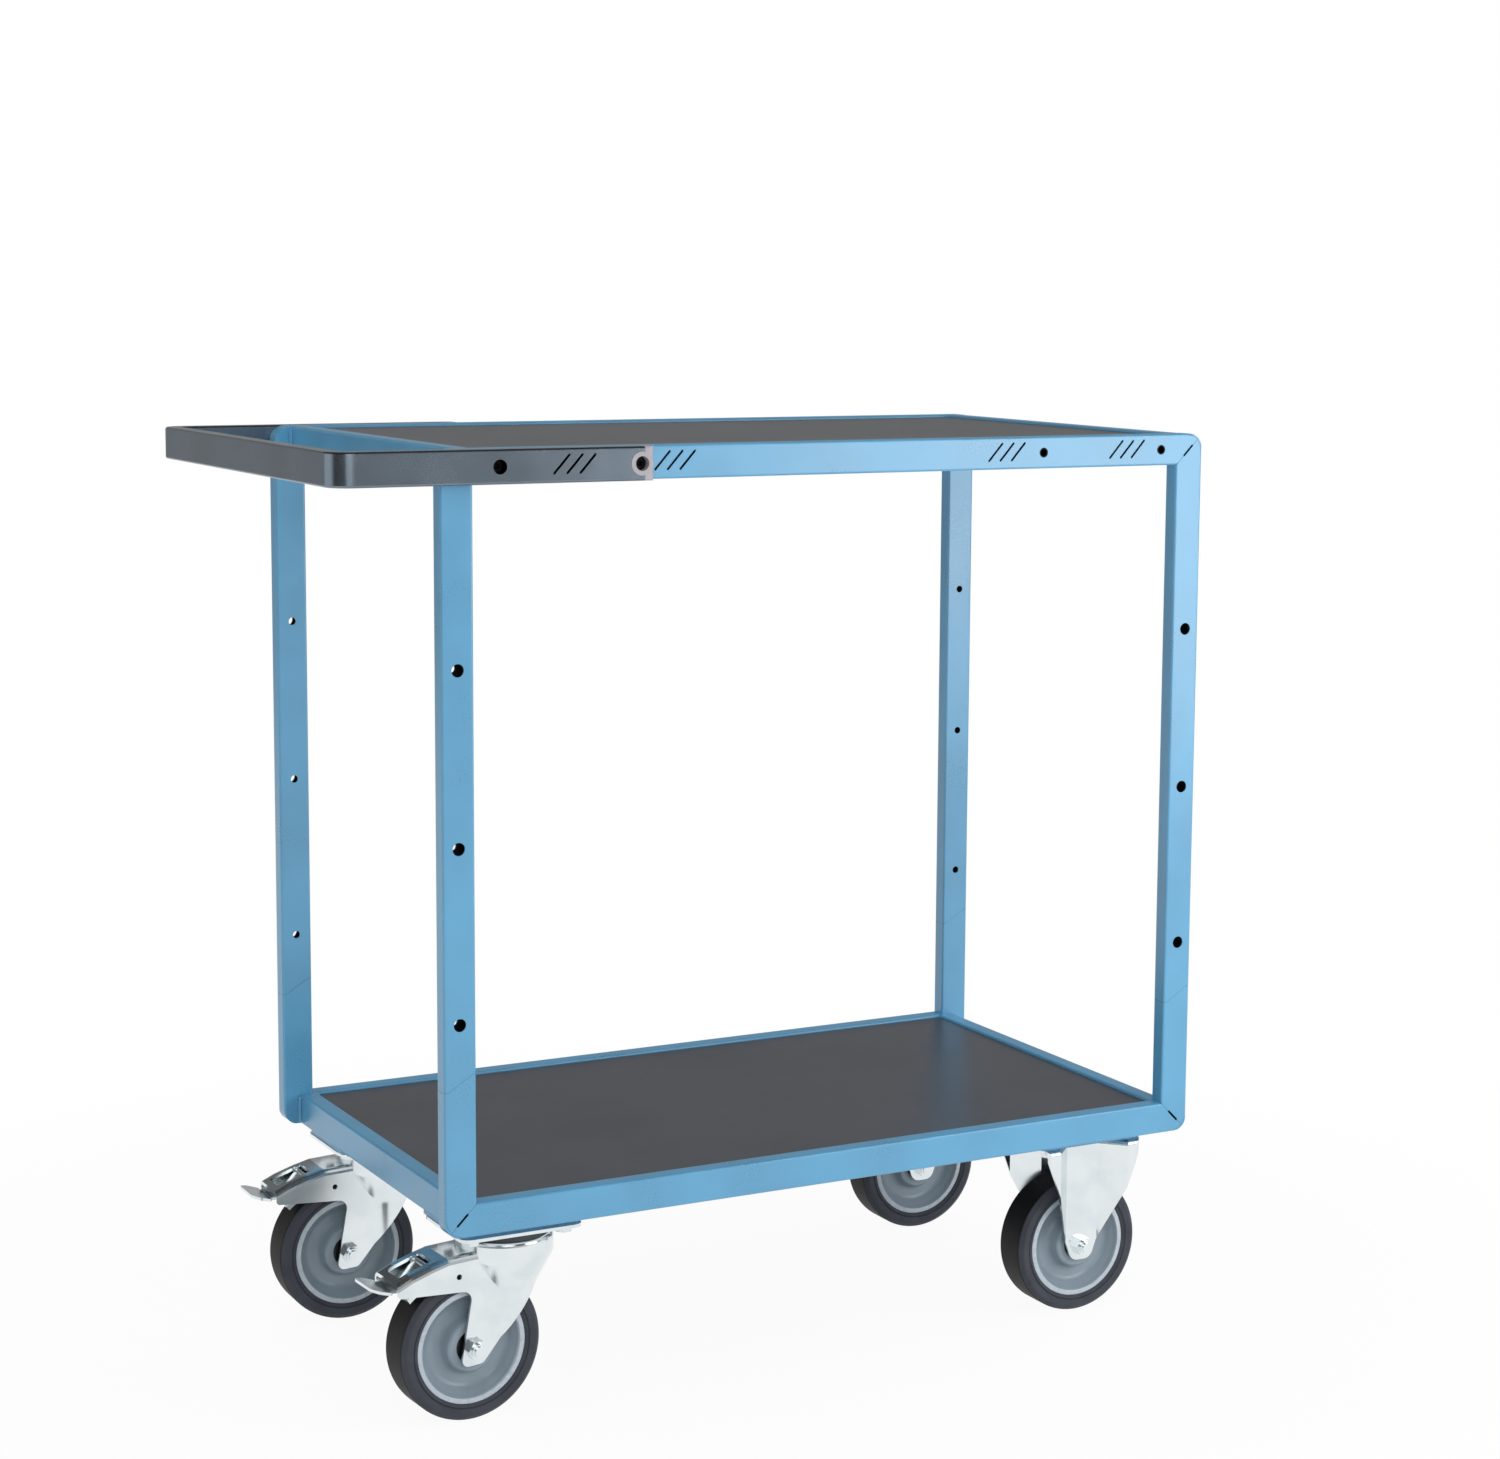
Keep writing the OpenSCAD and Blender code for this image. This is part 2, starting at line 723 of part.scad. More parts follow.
module swivel_fork() {
    color(zinc) difference() {
        union() {
            difference() {
                intersection() {
                    fork_skin();
                    plate_xz(fork_side, -rim_r - cut, rim_r + cut);
                }
                translate([window_x0, -window_half, 140])
                    linear_extrude(60)
                    polygon(box_outline(0, 0, window_x1 - window_x0, 2 * window_half, 3, 4));
            }
            pedal_ears();
            translate([0, 0, crown_z - 8]) cylinder(r = king_head_r, h = 8);
        }
        translate([0, 0, crown_z - 9]) cylinder(r = king_r + run_gap, h = 12);
        bar_y(-trail, axle_z, axle_r + 0.1, -60, 60);
        bar_y(-17.5 - trail, 160, 3, -60, 60);
        bar_y(pedal_pin_x, pedal_pin_z, pin_r + run_gap, -20, 20);
    }
}

ear_y = 15.5;
pin_r = 2;
pedal_barrel_r = 3.8;
barrel_half = 13.6;
pedal_sheet = 3;
tongue_half = 18.5;
tip_half = 27.5;
shoe_half = 15;
shoe_gap = 1.4;
shoe_t = 5;
shoe_mid = 131;

module pedal_pin() {
    color(zinc) bar_y(pedal_pin_x, pedal_pin_z, pin_r, -17, 17);
}

// A strip of sheet between two points of the side view
module strip_xz(a, b, t, half) {
    d = b - a;
    translate([a[0], 0, a[1]]) rotate([0, -atan2(d[1], d[0]), 0])
        translate([0, -half, -t]) cube([norm(d), 2 * half, t]);
}

// Brake shoe, which lies round the tyre once the pedal is pressed, turned back to rest
module brake_shoe() {
    shoe_in = wheel_d / 2 + shoe_gap;
    translate([pedal_pin_x, 0, pedal_pin_z]) rotate([0, pedal_press, 0])
        translate([-pedal_pin_x, 0, -pedal_pin_z])
        intersection() {
            difference() {
                bar_y(-trail, axle_z, shoe_in + shoe_t, -shoe_half, shoe_half);
                bar_y(-trail, axle_z, shoe_in, -shoe_half - cut, shoe_half + cut);
            }
            translate([-trail, 0, axle_z]) rotate([0, -shoe_mid, 0])
                translate([0, -shoe_half, -12]) cube([120, 2 * shoe_half, 24]);
        }
}

// Foot pedal with its tongue, tip, brake shoe and locking nose
module brake_pedal() {
    pin = [pedal_pin_x, pedal_pin_z];
    knee = [pedal_pin_x - 28, 154];
    mouth = [arm_end_x - 4, 154];
    tip = [arm_end_x - pedal_tip, 161];
    color(zinc) difference() {
        union() {
            bar_y(pin[0], pin[1], pedal_barrel_r, -barrel_half, barrel_half);
            intersection() {
                strip_xz(knee - [1, 0], pin + [-2, 2], pedal_sheet, tongue_half);
                linear_extrude(300)
                    polygon([[pin[0], -10], [pin[0], 10], [pin[0] - 8, 12.5],
                             [knee[0] + 6, window_half - 1], [knee[0] - 1, tongue_half],
                             [knee[0] - 1, -tongue_half], [knee[0] + 6, 1 - window_half],
                             [pin[0] - 8, -12.5]]);
            }
            translate([mouth[0] - cut, -tongue_half, knee[1] - pedal_sheet])
                cube([knee[0] - mouth[0] + 2 * cut, 2 * tongue_half, pedal_sheet]);
            intersection() {
                strip_xz(tip, mouth, pedal_sheet, tip_half + cut);
                linear_extrude(300)
                    polygon(outline([[mouth[0], -25, 2], [mouth[0], 25, 2],
                                     [tip[0] + 9, tip_half, 6], [tip[0], 20, 6],
                                     [tip[0], -20, 6], [tip[0] + 9, -tip_half, 6]]));
            }
            brake_shoe();
            plate_xz([pin + [-18, -30.8], pin + [-5, -22.4], pin + [-7, -4],
                      pin + [-13, -8]], -2, 2);
            strip_xz(pin - [0, 1], pin + [26, -6], pedal_sheet, 10);
        }
        bar_y(pin[0], pin[1], pin_r + run_gap, -20, 20);
    }
}

// Axle bolt with its lock nut on the near side
module axle_set(x) {
    far = cheek_out;
    near = -cheek_out;
    nut_h = 12;
    hex_h = 8.5;
    bar_y(x, axle_z, axle_r, near - nut_h - 2, far);
    hex_y(x, axle_z, hex19, far, far + 7.5);
    difference() {
        union() {
            hex_y(x, axle_z, hex19, near - hex_h, near);
            bar_y(x, axle_z, 8.2, near - nut_h, near);
        }
        bar_y(x, axle_z, axle_r + run_gap, near - nut_h - cut, near + cut);
    }
}

// Distance sleeve that the bearings run on
module axle_sleeve(x) {
    difference() {
        union() {
            bar_y(x, axle_z, sleeve_r, -cheek_in, cheek_in);
            for (s = [-1, 1])
                bar_y(x, axle_z, collar_r, s * (cheek_in + hub_half) / 2 - 1.8,
                      s * (cheek_in + hub_half) / 2 + 1.8);
        }
        bar_y(x, axle_z, axle_r + run_gap, -cheek_in - cut, cheek_in + cut);
    }
}

// Fixed fork, pressed in one piece with a waisted skirt
fixed_half_l = 65;
skirt_t = 3;
neck_x = 20.5;
flare_x = neck_x + plate_w / 2 - cheek_out;
neck_in = 0.8;

// A convex plan outline, pulled up and rounded at its top edges
module soft_block(plan, z0, z1, r) {
    hull() {
        translate([0, 0, z0]) linear_extrude(z1 - r - z0) polygon(plan);
        for (a = [15:25:90])
            translate([0, 0, z1 - r * (1 - sin(a)) - 0.01])
                linear_extrude(0.01) polygon(inset(plan, r * (1 - cos(a))));
    }
}

// The waisted body as a middle and two flared ends
module soft_body(d, z0, z1, r) {
    slant = d * tan(22.5);
    neck_y = cheek_out - d;
    wide_y = plate_w / 2 - d;
    soft_block([[-40, -neck_y], [40, -neck_y], [40, neck_y], [-40, neck_y]], z0, z1, r);
    for (s = [0, 1]) mirror([s, 0, 0])
        soft_block([[neck_x - slant + neck_in, -neck_y], [flare_x + slant, -wide_y],
                    [100, -wide_y], [100, wide_y], [flare_x + slant, wide_y],
                    [neck_x - slant + neck_in, neck_y]], z0, z1, r);
}

// Outline of the fixed fork seen from the side
fixed_side = outline([
    [-fixed_half_l, caster_h - 6.5, 3], [-18.2, 78, 14], [-13, axle_z - 17, 12],
    [13, axle_z - 17, 12], [18.2, 78, 14], [fixed_half_l, caster_h - 6.5, 3],
    [fixed_half_l, caster_h, 0], [-fixed_half_l, caster_h, 0]
]);

module fixed_fork() {
    bend_r = 6.5;
    color(zinc) difference() {
        intersection() {
            difference() {
                soft_body(0, 40, caster_h, bend_r);
                soft_body(skirt_t, 30, caster_h - sheet_t, bend_r - skirt_t);
            }
            plate_xz(fixed_side, -plate_w / 2, plate_w / 2);
            linear_extrude(caster_h + cut)
                polygon(box_outline(-fixed_half_l, -plate_w / 2, fixed_half_l, plate_w / 2, 9));
        }
        for (p = bolt_places())
            translate([p[0], p[1], caster_h - 20]) cylinder(r = clear_r, h = 30);
        bar_y(0, axle_z, axle_r + 0.1, -60, 60);
    }
}

// Wheels, turned about Y
module turned_y(x, profile, fn) {
    translate([x, 0, axle_z]) rotate([90, 0, 0]) rotate_extrude($fn = fn) polygon(profile);
}

function mirrored(pts) = [for (i = [len(pts) - 1:-1:0]) [pts[i][0], -pts[i][1], pts[i][2]]];

// Right half of the rim's section, from the tyre seat over the lip and the dish to the hub
rim_half = [
    [rim_out_r, 21.4, 0.6], [56.4, 22, 1.2], [53.5, 17, 3], [46, 7.5, 9], [31, 6, 7],
    [27.5, 20, 1.5], [hub_r, hub_half, 1.2], [bearing_r + 0.6, hub_half, 0],
    [bearing_r, hub_half - 0.6, 0], [bearing_r, hub_half - bearing_w - 0.5, 0],
    [12, hub_half - bearing_w - 0.5, 0]
];

module rim(x) {
    color(rim_grey) turned_y(x, outline(concat(rim_half, mirrored(rim_half)), 5), 96);
}

// Half of the tyre's section, with a groove beside the rim and a side that ends in a round
// shoulder
tyre_half = [
    [rim_out_r, tyre_w / 2 - 3.1, 0], [65.2, tyre_w / 2 - 0.8, 0.4], [66.3, tyre_w / 2 - 2, 0],
    [67.4, tyre_w / 2 - 0.7, 0.4], [wheel_d / 2 - 5.5, tyre_w / 2, 3],
    [wheel_d / 2, tyre_w / 2 - 5, 5]
];

module tyre(x) {
    color(rubber) turned_y(x, outline(concat(tyre_half, mirrored(tyre_half)), 5), 120);
}

module bearings(x) {
    out = hub_half - 0.5;
    color(bearing_black) for (s = [-1, 1]) {
        mid = s * (out - bearing_w / 2);
        difference() {
            bar_y(x, axle_z, bearing_r - 0.02, mid - bearing_w / 2, mid + bearing_w / 2);
            bar_y(x, axle_z, sleeve_r + run_gap, mid - bearing_w, mid + bearing_w);
            difference() {
                bar_y(x, axle_z, 15, s * out - 0.6, s * out + 0.6);
                bar_y(x, axle_z, 10, s * out - 1, s * out + 1);
            }
        }
    }
}

// Places of the four casters
module at_swivel_near() {
    in_place() translate([swivel_x, caster_y, 0]) children();
}

module at_swivel_far() {
    in_place() translate([swivel_x, frame_w - caster_y, 0]) children();
}

module turned_near() {
    at_swivel_near() rotate(near_yaw) children();
}

module turned_far() {
    at_swivel_far() rotate(far_yaw) children();
}

module at_fixed_near() {
    in_place() translate([fixed_x, caster_y, 0]) children();
}

module at_fixed_far() {
    in_place() translate([fixed_x, frame_w - caster_y, 0]) children();
}

module both_kingpins() {
    color(zinc) {
        at_swivel_near() kingpin();
        at_swivel_far() kingpin();
    }
}

module both_ball_rings() {
    color(zinc) {
        at_swivel_near() ball_ring();
        at_swivel_far() ball_ring();
    }
}

module both_dust_seals() {
    color(bearing_black) {
        at_swivel_near() dust_seal();
        at_swivel_far() dust_seal();
    }
}

module both_fixed_axles() {
    color(zinc) {
        at_fixed_near() axle_set(0);
        at_fixed_far() axle_set(0);
    }
}

module both_fixed_sleeves() {
    color(zinc) {
        at_fixed_near() axle_sleeve(0);
        at_fixed_far() axle_sleeve(0);
    }
}

in_place() side_frame_upper();  // side_frame_near_upper
in_place() side_frame_lower();  // side_frame_near_lower
in_place() far_side() side_frame_upper();  // side_frame_far_upper
in_place() far_side() side_frame_lower();  // side_frame_far_lower
in_place() end_bar(bar_inset, frame_top - tube_w);  // end_bar_top_handle
in_place() end_bar(front_bar_x, frame_top - tube_w);  // end_bar_top_front
in_place() end_bar(bar_inset, frame_bottom);  // end_bar_bottom_handle
in_place() end_bar(front_bar_x, frame_bottom);  // end_bar_bottom_front
in_place() board(frame_top);  // board_top
in_place() board(bottom_rail_top);  // board_bottom
in_place() rest_rail(frame_top);  // rest_rail_top_near
in_place() far_side() rest_rail(frame_top);  // rest_rail_top_far
in_place() rest_rail(bottom_rail_top);  // rest_rail_bottom_near
in_place() far_side() rest_rail(bottom_rail_top);  // rest_rail_bottom_far
in_place() cross_member(frame_top);  // cross_member_top
in_place() cross_member(bottom_rail_top);  // cross_member_bottom
in_place() board_screws();
in_place() push_handle();
in_place() handle_plug();  // handle_plug_near
in_place() far_side() handle_plug();  // handle_plug_far
in_place() handle_screws();
in_place() rail_nuts();
in_place() mount_plate(swivel_x, swivel_x + mount_reach);  // mount_plate_near_handle
in_place() far_side() mount_plate(swivel_x, swivel_x + mount_reach);  // mount_plate_far_handle
in_place() mount_plate(fixed_x, front_bar_x + tube_t);  // mount_plate_near_front
in_place() far_side() mount_plate(fixed_x, front_bar_x + tube_t);  // mount_plate_far_front
in_place() caster_bolts();
at_swivel_near() swivel_plate();  // swivel_plate_near
at_swivel_far() swivel_plate();  // swivel_plate_far
both_kingpins();  // kingpins
both_ball_rings();  // race_balls
both_dust_seals();  // dust_seals
turned_near() swivel_fork();  // swivel_fork_near
turned_far() swivel_fork();  // swivel_fork_far
turned_near() color(zinc) axle_set(-trail);  // swivel_axle_near
turned_far() color(zinc) axle_set(-trail);  // swivel_axle_far
turned_near() color(zinc) axle_sleeve(-trail);  // swivel_sleeve_near
turned_far() color(zinc) axle_sleeve(-trail);  // swivel_sleeve_far
turned_near() pedal_pin();  // pedal_pin_near
turned_far() pedal_pin();  // pedal_pin_far
turned_near() brake_pedal();  // brake_pedal_near
turned_far() brake_pedal();  // brake_pedal_far
at_fixed_near() fixed_fork();  // fixed_fork_near
at_fixed_far() fixed_fork();  // fixed_fork_far
both_fixed_axles();  // fixed_axles
both_fixed_sleeves();  // fixed_sleeves
turned_near() rim(-trail);  // rim_swivel_near
turned_far() rim(-trail);  // rim_swivel_far
at_fixed_near() rim(0);  // rim_fixed_near
at_fixed_far() rim(0);  // rim_fixed_far
turned_near() tyre(-trail);  // tyre_swivel_near
turned_far() tyre(-trail);  // tyre_swivel_far
at_fixed_near() tyre(0);  // tyre_fixed_near
at_fixed_far() tyre(0);  // tyre_fixed_far
turned_near() bearings(-trail);  // bearings_swivel_near
turned_far() bearings(-trail);  // bearings_swivel_far
at_fixed_near() bearings(0);  // bearings_fixed_near
at_fixed_far() bearings(0);  // bearings_fixed_far
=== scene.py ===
"""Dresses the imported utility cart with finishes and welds, in a plain studio with a camera."""
import logging
import math
from dataclasses import dataclass
from enum import Enum
from typing import Any, Iterator, Sequence, Union

import bmesh
import bpy
from mathutils import Matrix, Vector


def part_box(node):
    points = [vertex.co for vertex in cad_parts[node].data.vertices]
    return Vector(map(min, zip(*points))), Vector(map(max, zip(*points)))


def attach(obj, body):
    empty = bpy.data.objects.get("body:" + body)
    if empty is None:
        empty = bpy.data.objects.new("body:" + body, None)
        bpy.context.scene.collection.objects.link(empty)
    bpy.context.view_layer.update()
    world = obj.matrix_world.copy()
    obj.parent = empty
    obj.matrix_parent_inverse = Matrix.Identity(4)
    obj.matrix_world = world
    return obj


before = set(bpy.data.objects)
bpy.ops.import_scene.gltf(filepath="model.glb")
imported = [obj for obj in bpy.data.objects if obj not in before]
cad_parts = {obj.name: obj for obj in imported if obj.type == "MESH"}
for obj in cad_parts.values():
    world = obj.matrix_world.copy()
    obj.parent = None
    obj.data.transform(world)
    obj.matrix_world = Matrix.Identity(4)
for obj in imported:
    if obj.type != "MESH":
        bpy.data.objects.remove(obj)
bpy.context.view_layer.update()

LOG = logging.getLogger("cart")
MM = 0.001

Colour = tuple[float, float, float]
Number = Union["Signal", float]
Tint = Union["Signal", Colour]
WHITE: Colour = (1.0, 1.0, 1.0)


def srgb(red: int, green: int, blue: int) -> Colour:
    """Returns the linear colour of an 8-bit display colour."""
    def linear(level: int) -> float:
        """Returns one channel's linear value."""
        c = level / 255
        return c / 12.92 if c <= 0.04045 else ((c + 0.055) / 1.055) ** 2.4
    return linear(red), linear(green), linear(blue)


def scaled(colour: Colour, share: float) -> Colour:
    """Returns a colour made darker or lighter by a factor, and no lighter than white."""
    return tuple(min(c * share, 1.0) for c in colour)


class Side(Enum):
    """The two long sides of the cart."""

    NEAR = "near"
    FAR = "far"


class End(Enum):
    """The two ends of the cart."""

    HANDLE = "handle"
    FRONT = "front"


class Signal:
    """A node's output, with arithmetic that adds the nodes it needs."""

    def __init__(self, sheet: "NodeSheet", socket: bpy.types.NodeSocket) -> None:
        """Wraps a socket of a sheet.

        Args:
            sheet: The sheet that the socket's node is on.
            socket: The output socket.
        """
        self.sheet = sheet
        self.socket = socket

    def _calc(self, operation: str, *values: Any) -> "Signal":
        """Adds a Math node, or a Vector Math node where a value is a colour or a vector.

        Args:
            operation: The node's operation.
            values: Its inputs in order.

        Returns:
            The node's result.
        """
        wide = any(
            v.socket.type != "VALUE" if isinstance(v, Signal) else isinstance(v, tuple)
            for v in values
        )
        kind = "ShaderNodeVectorMath" if wide else "ShaderNodeMath"
        sockets = dict(enumerate(values))
        if wide:
            sockets = {
                i: v if isinstance(v, (Signal, tuple)) else (v, v, v)
                for i, v in sockets.items()
            }
        return self.sheet.add(kind, {"operation": operation}, sockets)

    def __add__(self, other: Any) -> "Signal":
        """Returns the sum."""
        return self._calc("ADD", self, other)

    def __radd__(self, other: Any) -> "Signal":
        """Returns the sum."""
        return self._calc("ADD", other, self)

    def __sub__(self, other: Any) -> "Signal":
        """Returns the difference."""
        return self._calc("SUBTRACT", self, other)

    def __rsub__(self, other: Any) -> "Signal":
        """Returns the difference from a value on the left."""
        return self._calc("SUBTRACT", other, self)

    def __mul__(self, other: Any) -> "Signal":
        """Returns the product."""
        return self._calc("MULTIPLY", self, other)

    def __rmul__(self, other: Any) -> "Signal":
        """Returns the product."""
        return self._calc("MULTIPLY", other, self)

    def __truediv__(self, other: Any) -> "Signal":
        """Returns the quotient."""
        return self._calc("DIVIDE", self, other)

    def __rtruediv__(self, other: Any) -> "Signal":
        """Returns the quotient of a value on the left."""
        return self._calc("DIVIDE", other, self)

    def __abs__(self) -> "Signal":
        """Returns the distance from zero."""
        return self._calc("ABSOLUTE", self)

    def __lt__(self, other: Any) -> "Signal":
        """Returns 1 where this is less than the other."""
        return self._calc("LESS_THAN", self, other)

    def __gt__(self, other: Any) -> "Signal":
        """Returns 1 where this is more than the other."""
        return self._calc("GREATER_THAN", self, other)

    def least(self, other: Any) -> "Signal":
        """Returns the lower of the two."""
        return self._calc("MINIMUM", self, other)

    def most(self, other: Any) -> "Signal":
        """Returns the higher of the two."""
        return self._calc("MAXIMUM", self, other)

    def root(self) -> "Signal":
        """Returns the square root."""
        return self._calc("SQRT", self)

    def sine(self) -> "Signal":
        """Returns the sine of an angle in radians."""
        return self._calc("SINE", self)

    def step(self, low: float, high: float) -> "Signal":
        """Returns a smooth step.

        Args:
            low: Where the step starts, with the result 0.
            high: Where it ends, with the result 1. It may be lower than low.

        Returns:
            The step's value.
        """
        return self.sheet.add(
            "ShaderNodeMapRange",
            {"interpolation_type": "SMOOTHSTEP"},
            {"Value": self, "From Min": low, "From Max": high},
        )

    def part(self, axis: int) -> "Signal":
        """Returns one of X, Y and Z as 0, 1 and 2."""
        return self.sheet.add("ShaderNodeSeparateXYZ", {}, {0: self}, out=axis)


class NodeSheet:
    """The node tree of a material or of the world."""

    def __init__(self, owner: Union[bpy.types.Material, bpy.types.World]) -> None:
        """Clears the owner's tree.

        Args:
            owner: The material or the world.
        """
        owner.use_nodes = True
        self.tree = owner.node_tree
        self.tree.nodes.clear()

    def add(
        self, kind: str, settings: dict[str, Any], sockets: dict[Any, Any], out: Any = 0
    ) -> Signal:
        """Adds a node.

        Args:
            kind: The node's type.
            settings: Its own settings, set first.
            sockets: Values or signals for its inputs, by name or number.
            out: The output that is returned, by name or number.

        Returns:
            That output.
        """
        node = self.tree.nodes.new(kind)
        for key, value in settings.items():
            setattr(node, key, value)
        for key, value in sockets.items():
            target = node.inputs[key]
            if isinstance(value, Signal):
                self.tree.links.new(value.socket, target)
            elif target.type == "RGBA":
                target.default_value = (*value[:3], 1.0)
            else:
                target.default_value = value
        return Signal(self, node.outputs[out] if len(node.outputs) else None)

    def place(self) -> Signal:
        """Returns the surface's place in the frame of its own object, in metres."""
        return self.add("ShaderNodeTexCoord", {}, {}, out="Object")

    def facing(self) -> Signal:
        """Returns the surface's direction in the frame of its own object."""
        return self.add("ShaderNodeTexCoord", {}, {}, out="Normal")

    def noise(
        self, at: Signal, size: float, detail: float = 3.0, rough: float = 0.5
    ) -> Signal:
        """Adds cloudy noise.

        Args:
            at: Where it is read.
            size: The length of its patches in metres.
            detail: How many finer layers it has.
            rough: The weight of the finer layers.

        Returns:
            Its value, from 0 to 1.
        """
        return self.add(
            "ShaderNodeTexNoise",
            {},
            {"Vector": at, "Scale": 1 / size, "Detail": detail, "Roughness": rough},
        )

    def mix(self, factor: Number, low: Tint, high: Tint) -> Signal:
        """Mixes two colours.

        Args:
            factor: The share of the second colour.
            low: The first colour.
            high: The second colour.

        Returns:
            The mixed colour.
        """
        node = {"data_type": "RGBA", "clamp_factor": True}
        return self.add("ShaderNodeMix", node, {0: factor, 6: low, 7: high}, out=2)

    def bump(self, height: Signal, depth: float, strength: float = 1.0) -> Signal:
        """Turns a height into a bent normal.

        Args:
            height: The height, from 0 to 1.
            depth: What a height of 1 measures, in metres.
            strength: The share of the effect.

        Returns:
            The normal.
        """
        return self.add(
            "ShaderNodeBump",
            {},
            {"Height": height, "Distance": depth, "Strength": strength},
        )


class Finish:
    """A surface finish that makes its material once."""

    def name(self) -> str:
        """Returns the material's name."""
        raise NotImplementedError

    def shade(self, sheet: NodeSheet) -> dict[str, Any]:
        """Adds the finish's nodes.

        Args:
            sheet: The material's empty sheet.

        Returns:
            Values and signals for the Principled shader's sockets.
        """
        raise NotImplementedError

    def material(self) -> bpy.types.Material:
        """Returns the material, which is made at the first call."""
        made = bpy.data.materials.get(self.name())
        if made is None:
            made = bpy.data.materials.new(self.name())
            sheet = NodeSheet(made)
            shader = sheet.add("ShaderNodeBsdfPrincipled", {}, self.shade(sheet))
            sheet.add("ShaderNodeOutputMaterial", {}, {"Surface": shader})
        return made


@dataclass(frozen=True)
class PowderCoat(Finish):
    """A baked coat with a fine orange peel."""

    title: str
    colour: Colour
    roughness: float = 0.34
    peel: float = 1.6 * MM
    peel_depth: float = 0.012 * MM
    gloss: float = 0.4
    metallic: float = 0.0
    cloud_size: float = 90 * MM
    grain_size: float = 0.7 * MM
    line_depth: float = 8.0
    # Near black: bare steel, darkened further as painted shade inside the tube.
    bare_and_shade: Colour = srgb(24, 26, 30)
    skin: float = 1 * MM
    tube: float = 35 * MM
    tube_t: float = 20 * MM
    half_width: float = 0.255
    top: float = 1.021

    def name(self) -> str:
        """Returns the material's name."""
        return self.title

    def within(self, depth: Signal, thickness: float) -> Signal:
        """Returns 1 where a depth below an outer face lies inside the tube's hollow."""
        return (depth > self.skin) * (depth < thickness - self.skin)

    def hollow(self, at: Signal) -> Signal:
        """Returns 1 on the uncoated inside of the tube, where bare steel and painted shade are
        coloured near black.
        """
        raise NotImplementedError

    def lines(self, at: Signal) -> Signal:
        """Returns 1 on the fine seams that show through the coat."""
        raise NotImplementedError

    def shade(self, sheet: NodeSheet) -> dict[str, Any]:
        """Adds the coat's nodes and returns the shader's values."""
        at = sheet.place()
        cloud = sheet.noise(at, self.cloud_size, 2.0)
        grain = sheet.noise(at, self.grain_size, 2.0)
        peel = sheet.noise(at, self.peel, 3.0, 0.6)
        dim = scaled(self.colour, 0.93)
        colour = sheet.mix(cloud.step(0.3, 0.7), dim, scaled(self.colour, 1.05))
        colour = sheet.mix(grain.step(0.62, 0.8) * 0.12, colour, scaled(dim, 0.6))
        lines = self.lines(at)
        colour = sheet.mix(lines * 0.7, colour, scaled(dim, 0.3))
        return {
            # The tube's hollow gets the near-black colour, partly bare steel and partly painted
            # shade.
            "Base Color": sheet.mix(self.hollow(at), colour, self.bare_and_shade),
            "Roughness": self.roughness + (cloud - 0.5) * 0.12 + (peel - 0.5) * 0.08,
            "Normal": sheet.bump(peel - lines * self.line_depth, self.peel_depth),
            "Specular IOR Level": self.gloss,
            "Metallic": self.metallic,
        }


@dataclass(frozen=True)
class FrameCoat(PowderCoat):
    """The frame's coat, with the mitres of its folded corners and the seams of its legs."""

    length: float = 0.920
    reach: float = 0.120
    bottom: float = 0.215
    seam_width: float = 0.42 * MM
    arc_inset: float = 2.0 * MM
    corner_r: float = 18 * MM
    seam_z: float = 0.369
    seam_rise: float = 17 * MM
    seam_flat: float = 4 * MM
    mark_depth: float = 2.4 * MM

    def line(self, distance: Signal) -> Signal:
        """Returns 1 on a thin line, given the distance from it."""
        return abs(distance).step(self.seam_width, self.seam_width * 0.5)

    def insets(self, at: Signal) -> tuple[Signal, Signal]:
        """Returns the distances from the frame's ends and from its top and bottom edges."""
        half_z = (self.top - self.bottom) / 2
        return (self.length / 2 - abs(at.part(0) - self.reach / 2),
                half_z - abs(at.part(2) - (self.top - half_z)))

    def hollow(self, at: Signal) -> Signal:
        """Returns 1 on the uncoated inside of the side frames, which takes the near-black bare
        steel and painted shade.
        """
        from_end, from_edge = self.insets(at)
        ring = self.within(from_end.least(from_edge), self.tube)
        below_arc = self.corner_r - self.from_arc_centre(from_end, from_edge) > self.skin
        across = self.within(self.half_width - abs(at.part(1)), self.tube_t)
        return ring * below_arc * across

    def from_arc_centre(self, from_end: Signal, from_edge: Signal) -> Signal:
        """Returns the distance from the centre of the nearest rounded corner, 0 outside it."""
        dx = (self.corner_r - from_end).most(0.0)
        dz = (self.corner_r - from_edge).most(0.0)
        return (dx * dx + dz * dz).root()

    def lines(self, at: Signal) -> Signal:
        """Returns 1 on mitres, on the arcs inside the outer corners and on the leg seams."""
        from_end, from_edge = self.insets(at)
        on_leg = from_end < self.tube
        mitre = self.line((from_end - from_edge) / math.sqrt(2)) * on_leg
        centre = self.from_arc_centre(from_end, from_edge)
        arc = self.line(centre - (self.corner_r - self.arc_inset))
        in_corner = (from_end < self.corner_r) * (from_edge < self.corner_r)
        on_side = abs(abs(at.part(1)) - self.half_width) < self.mark_depth
        left = (self.reach - self.length) / 2
        on_front = at.part(0) > self.reach / 2
        along = at.part(0) - left - on_front * (self.length - self.tube)
        slope = (along - self.seam_flat) / (self.tube - 2 * self.seam_flat)
        slope = slope.most(0.0).least(1.0)
        seam = self.line(at.part(2) - self.seam_z - slope * self.seam_rise)
        return (mitre.most(arc * in_corner) * on_side).most(seam * on_leg)


